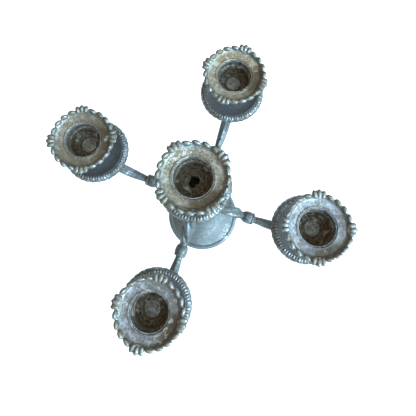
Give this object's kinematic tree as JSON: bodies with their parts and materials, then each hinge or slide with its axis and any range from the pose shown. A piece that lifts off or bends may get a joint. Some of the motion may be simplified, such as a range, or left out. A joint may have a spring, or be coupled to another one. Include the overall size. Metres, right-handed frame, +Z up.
{
  "type": "tabletop candelabra",
  "caption": "Silver-plated candelabra: a central light on a turned stem over a ring of curved arms, each with a drip pan, candle cup and loose gadrooned nozzle.",
  "frame": {"origin": "middle of the round foot, on the table", "axes": "+Z up the stem, +X along the east arm, +Y along the north arm"},
  "size_m": [0.2243, 0.2244, 0.309],
  "materials": {
    "plated_stem": "satin silver plate with grey-blue tarnish",
    "plated_branch": "silver plate, dark tarnish in the hollows",
    "plated_pan": "silver plate, bright lobes, dark reeding",
    "tarnished_flange": "silver plate mottled with olive and brown tarnish and wax",
    "waxed_cup": "dark tarnish and old wax film",
    "steel_fastener": "dull oxidised steel"
  },
  "bodies": {
    "stand": {"foot": "plated_stem", "foot_rim": "plated_stem", "foot_washer": "steel_fastener", "foot_nut": "steel_fastener", "tie_rod": "steel_fastener", "stem_collar": "plated_stem", "stem_baluster": "plated_stem", "stem_ring": "plated_stem", "stem_column": "plated_stem", "branch_hub": "plated_branch", "arm_screws": "steel_fastener", "center_pillar": "plated_stem", "cup_rivets": "steel_fastener", "arm_east": "plated_branch", "arm_north": "plated_branch", "arm_west": "plated_branch", "arm_south": "plated_branch", "drip_pan_center": "plated_pan", "candle_cup_center": "waxed_cup", "drip_pan_east": "plated_pan", "candle_cup_east": "waxed_cup", "drip_pan_north": "plated_pan", "candle_cup_north": "waxed_cup", "drip_pan_west": "plated_pan", "candle_cup_west": "waxed_cup", "drip_pan_south": "plated_pan", "candle_cup_south": "waxed_cup"},
    "sleeve_center": {"nozzle_sleeve_center": "waxed_cup"},
    "flange_center": {"nozzle_flange_center": "tarnished_flange"},
    "sleeve_east": {"nozzle_sleeve_east": "waxed_cup"},
    "flange_east": {"nozzle_flange_east": "tarnished_flange"},
    "sleeve_north": {"nozzle_sleeve_north": "waxed_cup"},
    "flange_north": {"nozzle_flange_north": "tarnished_flange"},
    "sleeve_west": {"nozzle_sleeve_west": "waxed_cup"},
    "flange_west": {"nozzle_flange_west": "tarnished_flange"},
    "sleeve_south": {"nozzle_sleeve_south": "waxed_cup"},
    "flange_south": {"nozzle_flange_south": "tarnished_flange"}
  },
  "joints": [
    {"name": "nozzle_lift_center", "type": "slide", "parent": "stand", "child": "sleeve_center", "axis": [0, 0, 1], "range_m": [0, 0.03]},
    {"name": "flange_turn_center", "type": "hinge", "parent": "sleeve_center", "child": "flange_center", "pos_m": [0, 0, 0.305], "axis": [0, 0, 1], "continuous": true},
    {"name": "nozzle_lift_east", "type": "slide", "parent": "stand", "child": "sleeve_east", "axis": [0, 0, 1], "range_m": [0, 0.03]},
    {"name": "flange_turn_east", "type": "hinge", "parent": "sleeve_east", "child": "flange_east", "pos_m": [0.0865, 0, 0.276], "axis": [0, 0, 1], "continuous": true},
    {"name": "nozzle_lift_north", "type": "slide", "parent": "stand", "child": "sleeve_north", "axis": [0, 0, 1], "range_m": [0, 0.03]},
    {"name": "flange_turn_north", "type": "hinge", "parent": "sleeve_north", "child": "flange_north", "pos_m": [0, 0.0865, 0.276], "axis": [0, 0, 1], "continuous": true},
    {"name": "nozzle_lift_west", "type": "slide", "parent": "stand", "child": "sleeve_west", "axis": [0, 0, 1], "range_m": [0, 0.03]},
    {"name": "flange_turn_west", "type": "hinge", "parent": "sleeve_west", "child": "flange_west", "pos_m": [-0.08638, 0.00453, 0.276], "axis": [0, 0, 1], "continuous": true},
    {"name": "nozzle_lift_south", "type": "slide", "parent": "stand", "child": "sleeve_south", "axis": [0, 0, 1], "range_m": [0, 0.03]},
    {"name": "flange_turn_south", "type": "hinge", "parent": "sleeve_south", "child": "flange_south", "pos_m": [0, -0.0865, 0.276], "axis": [0, 0, 1], "continuous": true}
  ]
}
